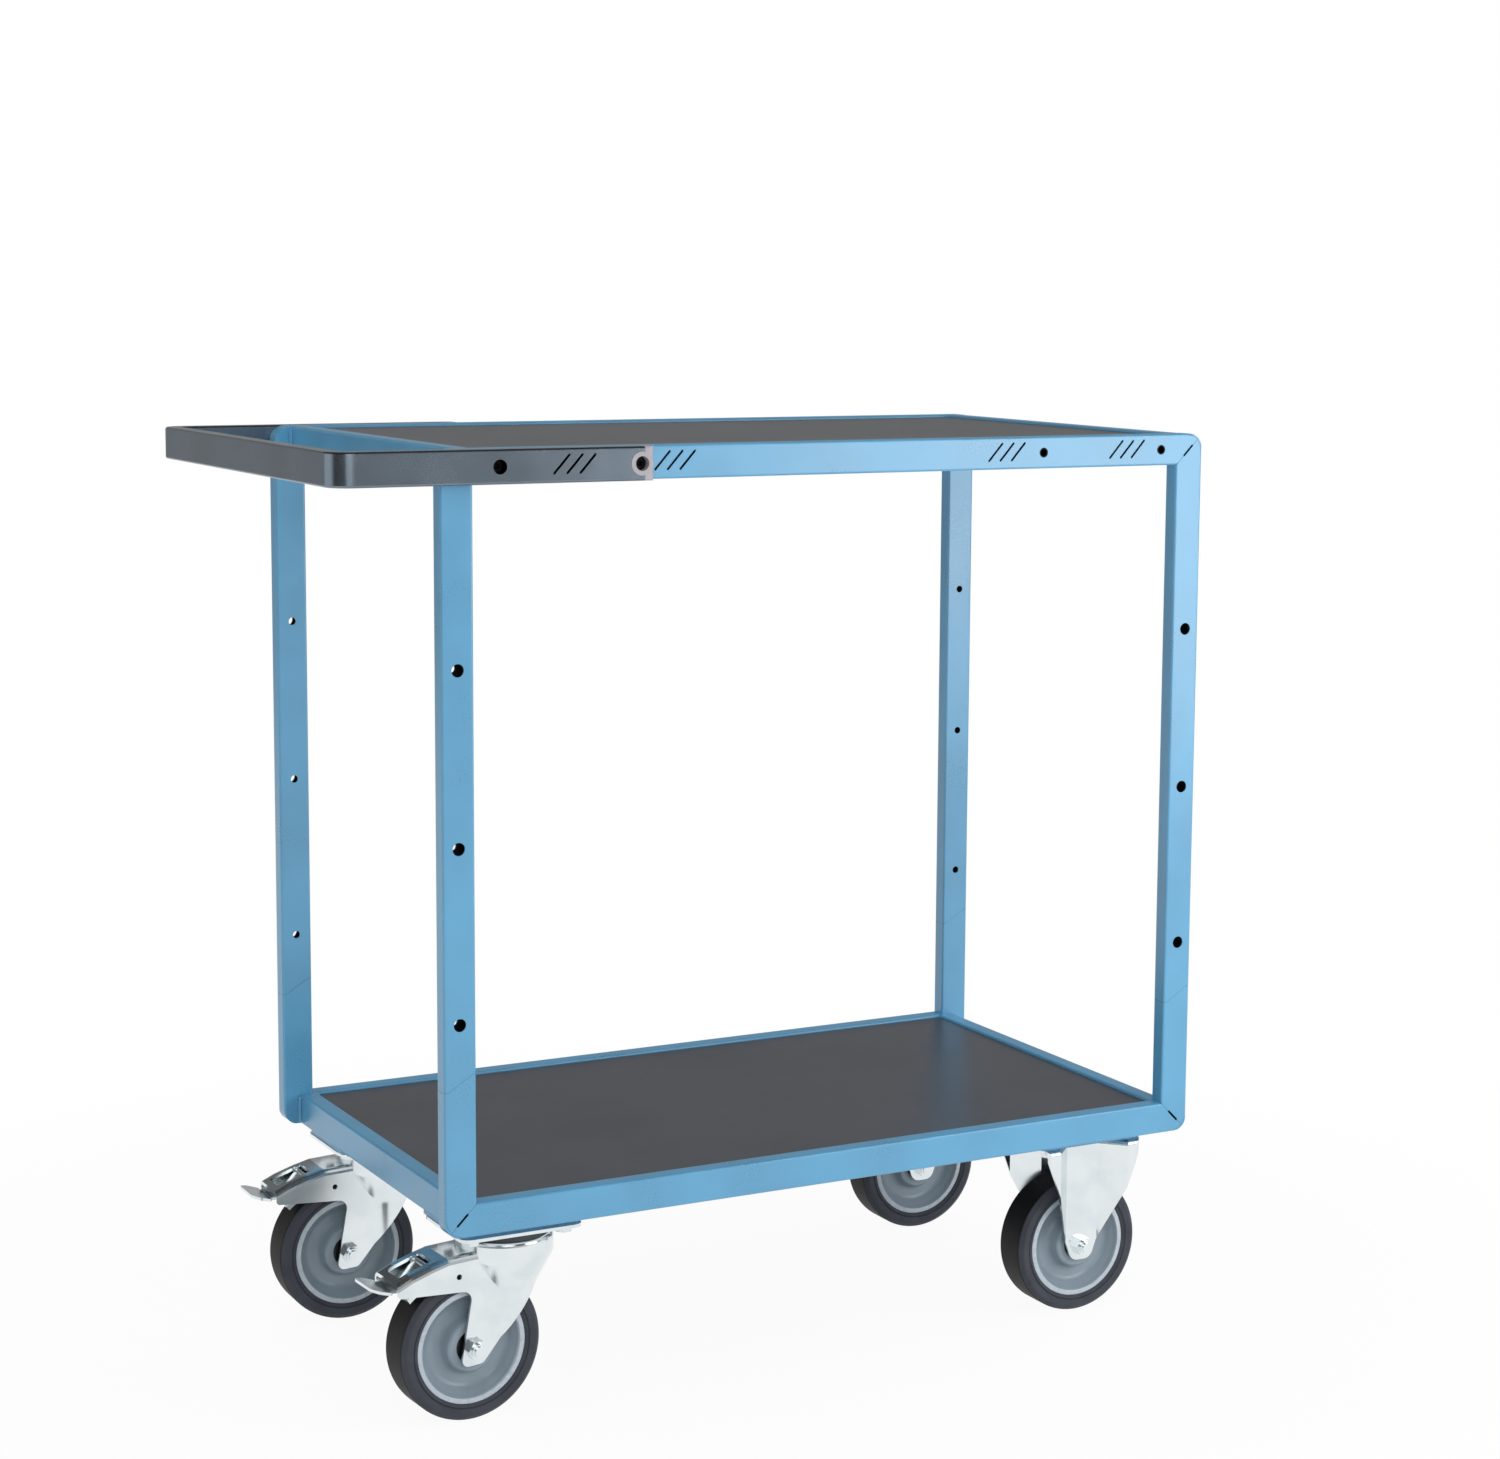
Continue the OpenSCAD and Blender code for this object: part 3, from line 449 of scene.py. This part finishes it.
@dataclass(frozen=True)
class HandleCoat(PowderCoat):
    """The push handle's coat."""

    bend_x: float = -0.494
    arm_end: float = -0.185

    def hollow(self, at: Signal) -> Signal:
        """Returns 1 on the uncoated inside of the arms, which takes the near-black bare steel
        and painted shade.
        """
        across = self.within(abs(at.part(1)) - self.half_width, self.tube_t)
        along = (at.part(0) > self.bend_x) * (at.part(0) < self.arm_end - self.skin)
        return across * self.within(self.top - at.part(2), self.tube) * along

    def lines(self, at: Signal) -> Signal:
        """Returns 1 on the fine joint line round the arm's end."""
        return abs(at.part(0) - self.arm_end).step(0.5 * MM, 0.2 * MM)


@dataclass(frozen=True)
class ZincPlate(Finish):
    """Bright zinc plating over pressed steel."""

    title: str = "zinc_plate"
    colour: Colour = srgb(232, 238, 240)
    shade_colour: Colour = srgb(216, 225, 229)
    speck_colour: Colour = srgb(150, 158, 162)
    roughness: float = 0.2

    def name(self) -> str:
        """Returns the material's name."""
        return self.title

    def shade(self, sheet: NodeSheet) -> dict[str, Any]:
        """Adds the plating's nodes and returns the shader's values."""
        at = sheet.place()
        cloud = sheet.noise(at, 34 * MM, 3.0)
        grain = sheet.noise(at, 1.1 * MM, 4.0, 0.7)
        specks = sheet.noise(at, 2.6 * MM, 2.0)
        colour = sheet.mix(cloud.step(0.35, 0.7) * 0.6, self.colour, self.shade_colour)
        colour = sheet.mix(specks.step(0.7, 0.8) * 0.1, colour, self.speck_colour)
        return {
            "Base Color": colour,
            "Metallic": 1.0,
            "Roughness": self.roughness + (cloud - 0.5) * 0.06 + (grain - 0.5) * 0.06,
            "Normal": sheet.bump(grain, 0.012 * MM, 0.5),
        }


@dataclass(frozen=True)
class BoardFace(Finish):
    """The smooth dark facing of the shelf boards, with their lighter layered edge."""

    colour: Colour = srgb(80, 83, 91)
    edge_colour: Colour = srgb(70, 60, 52)
    layer: float = 1.7 * MM
    roughness: float = 0.34

    def name(self) -> str:
        """Returns the material's name."""
        return "board_face"

    def shade(self, sheet: NodeSheet) -> dict[str, Any]:
        """Adds the facing's nodes and returns the shader's values."""
        at = sheet.place()
        cloud = sheet.noise(at, 160 * MM, 3.0)
        grain = sheet.noise(at, 0.9 * MM, 3.0, 0.7)
        scuff = sheet.noise(at, 18 * MM, 5.0, 0.7)
        dark = scaled(self.colour, 0.86)
        colour = sheet.mix(cloud.step(0.3, 0.7), self.colour, dark)
        colour = sheet.mix(grain.step(0.55, 0.75) * 0.2, colour, scaled(dark, 1.5))
        upright = abs(sheet.facing().part(2)) < 0.5
        layers = (at.part(2) * (math.tau / self.layer)).sine().step(-0.4, 0.4)
        edge = sheet.mix(layers, self.edge_colour, scaled(self.edge_colour, 0.5))
        return {
            "Base Color": sheet.mix(upright, colour, edge),
            "Roughness": self.roughness + (scuff - 0.5) * 0.04 + (grain - 0.5) * 0.12,
            "Normal": sheet.bump(grain, 0.012 * MM, 0.6),
        }


@dataclass(frozen=True)
class MouldedPlastic(Finish):
    """A moulded plastic with a fine spark-eroded grain."""

    title: str
    colour: Colour
    roughness: float = 0.45
    grain: float = 0.5 * MM
    depth: float = 0.02 * MM

    def name(self) -> str:
        """Returns the material's name."""
        return self.title

    def shade(self, sheet: NodeSheet) -> dict[str, Any]:
        """Adds the plastic's nodes and returns the shader's values."""
        at = sheet.place()
        cloud = sheet.noise(at, 35 * MM, 2.0)
        grain = sheet.noise(at, self.grain, 2.0)
        dim = scaled(self.colour, 0.88)
        colour = sheet.mix(cloud.step(0.3, 0.7), self.colour, dim)
        colour = sheet.mix(grain.step(0.6, 0.8) * 0.15, colour, scaled(dim, 0.7))
        return {
            "Base Color": colour,
            "Roughness": self.roughness + (cloud - 0.5) * 0.1 + (grain - 0.5) * 0.08,
            "Normal": sheet.bump(grain, self.depth, 0.6),
        }


@dataclass(frozen=True)
class TyreRubber(Finish):
    """Solid rubber, with painted shade that makes the tread darker than its sides."""

    colour: Colour = srgb(68, 72, 81)
    # The tread's near-black colour is painted shade.
    tread_shade_colour: Colour = srgb(15, 15, 16)
    roughness: float = 0.62

    def name(self) -> str:
        """Returns the material's name."""
        return "tyre_rubber"

    def shade(self, sheet: NodeSheet) -> dict[str, Any]:
        """Adds the rubber's nodes and returns the shader's values."""
        at = sheet.place()
        cloud = sheet.noise(at, 22 * MM, 4.0, 0.6)
        grain = sheet.noise(at, 0.8 * MM, 3.0, 0.7)
        on_tread = 1 - abs(sheet.facing().part(1)).step(0.3, 0.7)
        dim = scaled(self.colour, 0.82)
        side = sheet.mix(cloud.step(0.35, 0.7), self.colour, dim)
        # Painted shade: faces turned away from the sides take the darker tread colour.
        colour = sheet.mix(on_tread, side, self.tread_shade_colour)
        colour = sheet.mix(grain.step(0.6, 0.8) * 0.2, colour, scaled(dim, 0.5))
        return {
            "Base Color": colour,
            "Roughness": self.roughness + (cloud - 0.5) * 0.15 + (grain - 0.5) * 0.12,
            "Specular IOR Level": 0.3,
            "Normal": sheet.bump(grain + cloud * 0.4, 0.05 * MM, 0.7),
        }


@dataclass(frozen=True)
class RimPlastic(MouldedPlastic):
    """The wheel's plastic, with a painted highlight on its outer lip and scuffed in the dish."""

    centre_x: float = 0.0
    axle_z: float = 0.080
    lip_from: float = 55.2 * MM
    lip_blend: float = 1.6 * MM
    # Colour of the painted highlight on the lip's rounded edge.
    lip_highlight: Colour = srgb(196, 206, 215)

    def shade(self, sheet: NodeSheet) -> dict[str, Any]:
        """Adds the painted highlight on the lip to the plastic's nodes and returns the shader's
        values.
        """
        values = super().shade(sheet)
        at = sheet.place()
        dx = at.part(0) - self.centre_x
        dz = at.part(2) - self.axle_z
        radius = (dx * dx + dz * dz).root()
        lip = radius.step(self.lip_from, self.lip_from + self.lip_blend)
        # Patchy painted highlight on the lip, where the rounded edge catches the light.
        highlight_patches = sheet.noise(at, 6 * MM, 4.0, 0.7).step(0.25, 0.6)
        values["Base Color"] = sheet.mix(
            lip * (0.6 + highlight_patches * 0.4), values["Base Color"], self.lip_highlight)
        return values


@dataclass(frozen=True)
class Steel(Finish):
    """Turned or ground steel of a bearing."""

    title: str
    colour: Colour
    roughness: float = 0.3

    def name(self) -> str:
        """Returns the material's name."""
        return self.title

    def shade(self, sheet: NodeSheet) -> dict[str, Any]:
        """Adds the steel's nodes and returns the shader's values."""
        at = sheet.place()
        cloud = sheet.noise(at, 9 * MM, 3.0)
        marks = sheet.noise(at, 0.4 * MM, 2.0)
        return {
            "Base Color": sheet.mix(cloud.step(0.3, 0.7), self.colour, scaled(self.colour, 0.7)),
            "Metallic": 0.9,
            "Roughness": self.roughness + (cloud - 0.5) * 0.2 + (marks - 0.5) * 0.1,
            "Normal": sheet.bump(marks, 0.01 * MM, 0.5),
        }


FRAME_COAT = FrameCoat("frame_coat", srgb(88, 164, 206), 0.3, gloss=1.0)
HANDLE_COAT = HandleCoat(
    "handle_coat", srgb(122, 134, 145), 0.25, peel=0.9 * MM, peel_depth=0.008 * MM, gloss=0.5,
    metallic=0.95)
ZINC = ZincPlate()
BOARD = BoardFace()
PLUG = MouldedPlastic("plug_plastic", srgb(186, 180, 186), 0.5)
RIM_COLOUR = srgb(148, 163, 174)
SEAL = MouldedPlastic("seal_rubber", srgb(58, 65, 72), 0.55)
BLACK_SCREW = Steel("black_screw", srgb(30, 31, 34), 0.42)
RUBBER = TyreRubber()
BEARING = Steel("bearing_shield", srgb(52, 55, 58), 0.35)
BALLS = Steel("ball_steel", srgb(170, 172, 175), 0.2)


def dress(names: Sequence[str], finish: Finish) -> None:
    """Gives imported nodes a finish.

    Args:
        names: The nodes.
        finish: Their finish.
    """
    for name in names:
        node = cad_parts[name]
        node.data.materials.clear()
        node.data.materials.append(finish.material())
        LOG.info("dressed %s with %s", name, finish.name())


def new_piece(
    name: str, build: bmesh.types.BMesh, finish: Finish, body: str
) -> bpy.types.Object:
    """Turns a mesh in the making into a piece that rides on a body.

    Args:
        name: The piece's name.
        build: The mesh, which is used up.
        finish: Its finish.
        body: The body that carries it.

    Returns:
        The new object.
    """
    bmesh.ops.recalc_face_normals(build, faces=build.faces)
    mesh = bpy.data.meshes.new(name)
    build.to_mesh(mesh)
    build.free()
    for face in mesh.polygons:
        face.use_smooth = True
    piece = bpy.data.objects.new(name, mesh)
    bpy.context.scene.collection.objects.link(piece)
    mesh.materials.append(finish.material())
    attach(piece, body)
    LOG.info("made %s on %s", name, body)
    return piece


@dataclass
class WeldedFrame:
    """The two side frames, the end bars, the rests below the boards and the caster plates."""

    bead_r: float = 3.5 * MM
    ripple: float = 1.3 * MM
    step: float = 0.33 * MM
    arc_steps: int = 6
    bow: float = 0.35 * MM
    sink: float = 0.3 * MM
    inset: float = 2.6 * MM
    bulge: float = 3.0 * MM

    def dress(self) -> None:
        """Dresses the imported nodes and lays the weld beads."""
        folded = [f"side_frame_{s.value}_{part}" for s in Side for part in ("upper", "lower")]
        bars = [f"end_bar_{level}_{e.value}" for level in ("top", "bottom") for e in End]
        rests = [f"rest_rail_{level}_{s.value}" for level in ("top", "bottom") for s in Side]
        rests += ["cross_member_top", "cross_member_bottom"]
        plates = [f"mount_plate_{s.value}_{e.value}" for s in Side for e in End]
        dress(folded + bars + rests + plates, FRAME_COAT)
        for bar in bars:
            self.bar_welds(bar)

    def bead(self, build: bmesh.types.BMesh, start: Vector, end: Vector, wall: Vector,
             face: Vector) -> None:
        """Adds one rippled fillet weld to a mesh.

        Args:
            build: The mesh.
            start: One end of the corner line that it fills.
            end: The other end.
            wall: The direction along the first surface, square to the line.
            face: The direction along the second surface, square to the line.
        """
        run = end - start
        count = max(int(run.length / self.step), 4)
        rings = []
        for i in range(count + 1):
            share = i / count
            along = share * run.length
            wave = 0.5 + 0.5 * math.cos(math.tau * along / self.ripple)
            taper = min(1.0, 6 * min(share, 1 - share) + 0.35)
            radius = self.bead_r * taper * (0.9 + 0.1 * wave)
            ring = []
            for k in range(self.arc_steps + 1):
                angle = math.pi / 2 * k / self.arc_steps
                bowed = along + self.bow * math.sin(2 * angle)
                middle = start + run.normalized() * min(bowed, run.length)
                ring.append(build.verts.new(
                    middle + wall * radius * math.cos(angle) + face * radius * math.sin(angle)))
            ring.append(build.verts.new(start + run * share - (wall + face) * self.sink))
            rings.append(ring)
        for one, two in zip(rings, rings[1:]):
            for k in range(len(one)):
                j = (k + 1) % len(one)
                build.faces.new((one[k], one[j], two[j], two[k]))
        build.faces.new(rings[0])
        build.faces.new(list(reversed(rings[-1])))

    def bar_welds(self, bar: str) -> None:
        """Lays the four upright beads at the ends of an end bar.

        Args:
            bar: The bar's node.
        """
        low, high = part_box(bar)
        foot, head = low.z + self.inset, high.z - self.inset
        build = bmesh.new()
        for x, out in ((low.x + self.bulge, -1), (high.x - self.bulge, 1)):
            for y, inward in ((low.y, 1), (high.y, -1)):
                self.bead(build, Vector((x, y, foot)), Vector((x, y, head)),
                          Vector((out, 0, 0)), Vector((0, inward, 0)))
        new_piece(bar.replace("end_bar", "weld_beads"), build, FRAME_COAT, "chassis")


@dataclass
class Shelves:
    """The two boards and their screws."""

    def dress(self) -> None:
        """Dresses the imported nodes."""
        dress(["board_top", "board_bottom"], BOARD)
        dress(["board_screws"], ZINC)


@dataclass
class PushHandle:
    """The bent handle with its plugs and screws."""

    def dress(self) -> None:
        """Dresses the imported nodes."""
        dress(["push_handle"], HANDLE_COAT)
        dress([f"handle_plug_{s.value}" for s in Side], PLUG)
        dress(["handle_screws", "rail_nuts"], BLACK_SCREW)


@dataclass
class Wheel:
    """One wheel: rim, tyre and bearings."""

    place: str

    def dress(self) -> None:
        """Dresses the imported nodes."""
        low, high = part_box(f"rim_{self.place}")
        plastic = RimPlastic(
            f"rim_plastic_{self.place}", RIM_COLOUR, 0.28, grain=0.6 * MM, depth=0.008 * MM,
            centre_x=(low.x + high.x) / 2)
        dress([f"rim_{self.place}"], plastic)
        dress([f"tyre_{self.place}"], RUBBER)
        dress([f"bearings_{self.place}"], BEARING)


@dataclass
class Casters:
    """The four casters with their bolts."""

    def dress(self) -> None:
        """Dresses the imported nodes."""
        shared = ["caster_bolts", "kingpins", "fixed_axles", "fixed_sleeves"]
        for side in Side:
            shared += [
                f"swivel_plate_{side.value}", f"swivel_fork_{side.value}",
                f"swivel_axle_{side.value}", f"swivel_sleeve_{side.value}",
                f"pedal_pin_{side.value}", f"brake_pedal_{side.value}",
                f"fixed_fork_{side.value}",
            ]
        dress(shared, ZINC)
        dress(["race_balls"], BALLS)
        dress(["dust_seals"], SEAL)
        for kind in ("swivel", "fixed"):
            for side in Side:
                Wheel(f"{kind}_{side.value}").dress()


@dataclass(frozen=True)
class Lamp:
    """One area lamp."""

    name: str
    at: tuple[float, float, float]
    size: float
    power: float

    def hang(self, target: Vector) -> None:
        """Hangs the lamp and turns it to a point.

        Args:
            target: The point.
        """
        light = bpy.data.lights.new(self.name, "AREA")
        light.energy = self.power
        light.size = self.size
        lamp = bpy.data.objects.new(self.name, light)
        lamp.location = self.at
        aim = target - Vector(self.at)
        lamp.rotation_euler = aim.to_track_quat("-Z", "Y").to_euler()
        bpy.context.scene.collection.objects.link(lamp)


@dataclass
class Studio:
    """The white room, its lamps and the camera."""

    camera_at: tuple[float, float, float] = (-1.5622, -3.1352, 1.1973)
    yaw: float = 28.972
    pitch: float = 7.463
    roll: float = -0.49
    focal_px: float = 3125.6
    axis_px: tuple[float, float] = (821.7, 681.6)
    image_px: tuple[int, int] = (1500, 1459)
    sensor: float = 36.0
    floor_half: float = 4.5
    clear_from: float = 0.6
    clear_to: float = 1.6
    near_glow: float = 0.94
    bright_side: float = 0.6
    dim_side: float = 0.2
    top_light: float = 0.75
    key_way: float = -41.0
    panel_way: float = 158.0
    dark_way: float = -138.0
    dark_level: float = 0.05
    room_level: float = 0.38
    panel_level: float = 1.0
    right_floor: float = 0.76
    right_from: float = 0.45
    right_to: float = 1.05
    paint: Colour = (0.9, 0.9, 0.9)
    key_spread: tuple[float, float] = (-0.7, 0.35)
    top_spread: tuple[float, float] = (0.1, 0.7)
    wall_top: tuple[float, float] = (0.6, 0.4)
    ceiling_edge: tuple[float, float] = (0.2, 0.5)
    dark_edge: tuple[float, float] = (0.6, 0.88)
    panel_edge: tuple[float, float] = (0.86, 0.93)
    aim: tuple[float, float, float] = (0.0, 0.0, 0.55)

    def camera(self) -> None:
        """Sets the camera where the photograph was taken from."""
        yaw, pitch, roll = (math.radians(a) for a in (self.yaw, self.pitch, self.roll))
        ahead = Vector((math.sin(yaw) * math.cos(pitch), math.cos(yaw) * math.cos(pitch),
                        -math.sin(pitch)))
        level = Vector((math.cos(yaw), -math.sin(yaw), 0))
        down = ahead.cross(level)
        right = math.cos(roll) * level + math.sin(roll) * down
        up = math.sin(roll) * level - math.cos(roll) * down
        width, height = self.image_px
        data = bpy.data.cameras.new("camera")
        data.sensor_width = self.sensor
        data.lens = self.focal_px * self.sensor / width
        data.shift_x = (width / 2 - self.axis_px[0]) / width
        data.shift_y = (self.axis_px[1] - height / 2) / width
        camera = bpy.data.objects.new("camera", data)
        turn = Matrix((right, up, -ahead)).transposed().to_4x4()
        camera.matrix_world = Matrix.Translation(self.camera_at) @ turn
        bpy.context.scene.collection.objects.link(camera)
        bpy.context.scene.camera = camera

    def floor(self) -> None:
        """Lays the pale floor, which mirrors a little darker at the right."""
        build = bmesh.new()
        bmesh.ops.create_grid(build, x_segments=1, y_segments=1, size=self.floor_half)
        mesh = bpy.data.meshes.new("floor")
        build.to_mesh(mesh)
        build.free()
        material = bpy.data.materials.new("floor_paint")
        sheet = NodeSheet(material)
        paint = sheet.add("ShaderNodeBsdfDiffuse", {}, {"Color": self.paint})
        glow = sheet.add("ShaderNodeEmission", {}, {"Color": WHITE, "Strength": 1.0})
        seen = sheet.add("ShaderNodeLightPath", {}, {}, out="Is Camera Ray")
        mirrored = sheet.add("ShaderNodeLightPath", {}, {}, out="Is Glossy Ray")
        at = sheet.place()
        to_right = at.part(0).step(self.right_from, self.right_to)
        seen = seen.most(mirrored * (1 - to_right * (1 - self.right_floor)))
        far = (at.part(0) * at.part(0) + at.part(1) * at.part(1)).root()
        share = self.near_glow + far.step(self.clear_from, self.clear_to) * (1 - self.near_glow)
        floor = sheet.add("ShaderNodeMixShader", {}, {0: seen * share, 1: paint, 2: glow})
        sheet.add("ShaderNodeOutputMaterial", {}, {"Surface": floor})
        mesh.materials.append(material)
        obj = bpy.data.objects.new("floor", mesh)
        bpy.context.scene.collection.objects.link(obj)

    @staticmethod
    def towards(way: Signal, azimuth: float) -> Signal:
        """Returns the cosine between a level direction and an azimuth in degrees."""
        angle = math.radians(azimuth)
        return way.part(0) * math.cos(angle) + way.part(1) * math.sin(angle)

    def reflected(self, way: Signal) -> Signal:
        """Returns the room's brightness in reflections.

        Args:
            way: The direction that is looked into.

        Returns:
            A grey room with a bright panel at the left, dark behind the camera and above.
        """
        wall = way.part(2).step(*self.wall_top)
        ceiling = way.part(2).step(*self.ceiling_edge)
        dark = self.towards(way, self.dark_way).step(*self.dark_edge) * wall
        panel = self.towards(way, self.panel_way).step(*self.panel_edge) * wall
        level = self.room_level + ceiling * (self.dark_level - self.room_level)
        return (level + dark * (self.dark_level - level)).most(panel * self.panel_level)

    def world(self) -> None:
        """Fills the room with soft light from the front right and from above."""
        world = bpy.data.worlds.new("room")
        bpy.context.scene.world = world
        sheet = NodeSheet(world)
        way = sheet.add("ShaderNodeTexCoord", {}, {}, out="Generated")
        to_key = self.towards(way, self.key_way)
        from_key = to_key.step(*self.key_spread)
        side = self.dim_side + from_key * (self.bright_side - self.dim_side)
        level = side + way.part(2).step(*self.top_spread) * (self.top_light - side)
        mirrored = sheet.add("ShaderNodeLightPath", {}, {}, out="Is Glossy Ray")
        level = level + mirrored * (self.reflected(way) - level)
        seen = sheet.add("ShaderNodeLightPath", {}, {}, out="Is Camera Ray")
        strength = level + seen * (1 - level)
        white = sheet.add("ShaderNodeBackground", {}, {"Color": WHITE, "Strength": strength})
        sheet.add("ShaderNodeOutputWorld", {}, {"Surface": white})

    def lamps(self) -> Iterator[Lamp]:
        """Yields the lamps: a key from the front right and a fill from the front left."""
        yield Lamp("key_lamp", (1.45, -1.9, 0.95), 1.2, 16.0)
        yield Lamp("fill_lamp", (-0.9, -3.0, 1.5), 1.5, 12.0)

    def set_up(self) -> None:
        """Builds the room and chooses the plain view transform."""
        self.camera()
        self.floor()
        self.world()
        for lamp in self.lamps():
            lamp.hang(Vector(self.aim))
        bpy.context.scene.view_settings.view_transform = "Standard"


def main() -> None:
    """Dresses each sub-assembly in order and sets up the studio."""
    logging.basicConfig(level=logging.INFO, format="%(name)s: %(message)s")
    for group in (WeldedFrame(), Shelves(), PushHandle(), Casters()):
        group.dress()
        LOG.info("finished %s", type(group).__name__)
    Studio().set_up()


if __name__ == "__main__":
    main()
